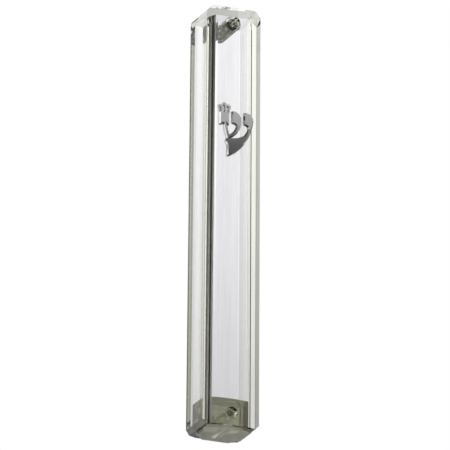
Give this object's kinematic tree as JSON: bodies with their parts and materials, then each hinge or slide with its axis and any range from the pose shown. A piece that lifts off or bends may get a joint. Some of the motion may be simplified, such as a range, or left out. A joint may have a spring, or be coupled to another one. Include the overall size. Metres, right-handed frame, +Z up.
{
  "type": "mezuzah case",
  "caption": "Clear bevelled case for a doorpost scroll, with a metal letter on its front, a pull-out bottom stopper and front-to-back screw holes.",
  "frame": {"origin": "on the flat back face, on the centre line, halfway up the case", "axes": "+X to the right of a viewer facing the case, +Y into the doorpost, +Z up"},
  "size_m": [0.0166, 0.0147, 0.1209],
  "materials": {
    "clear_acrylic": "clear moulded acrylic, polished",
    "stopper_rubber": "translucent olive-grey moulded rubber",
    "letter_metal": "polished silver-coloured plate",
    "adhesive_film": "clear adhesive film",
    "crown_metal": "polished silver-coloured plate"
  },
  "bodies": {
    "case": {"case_shell": "clear_acrylic", "shin_letter": "letter_metal", "letter_adhesive": "adhesive_film", "crown_marks": "crown_metal"},
    "stopper": {"end_stopper": "stopper_rubber"}
  },
  "joints": [
    {"name": "stopper_pull", "type": "slide", "parent": "case", "child": "stopper", "axis": [0, 0, -1], "range_m": [0, 0.014]}
  ]
}
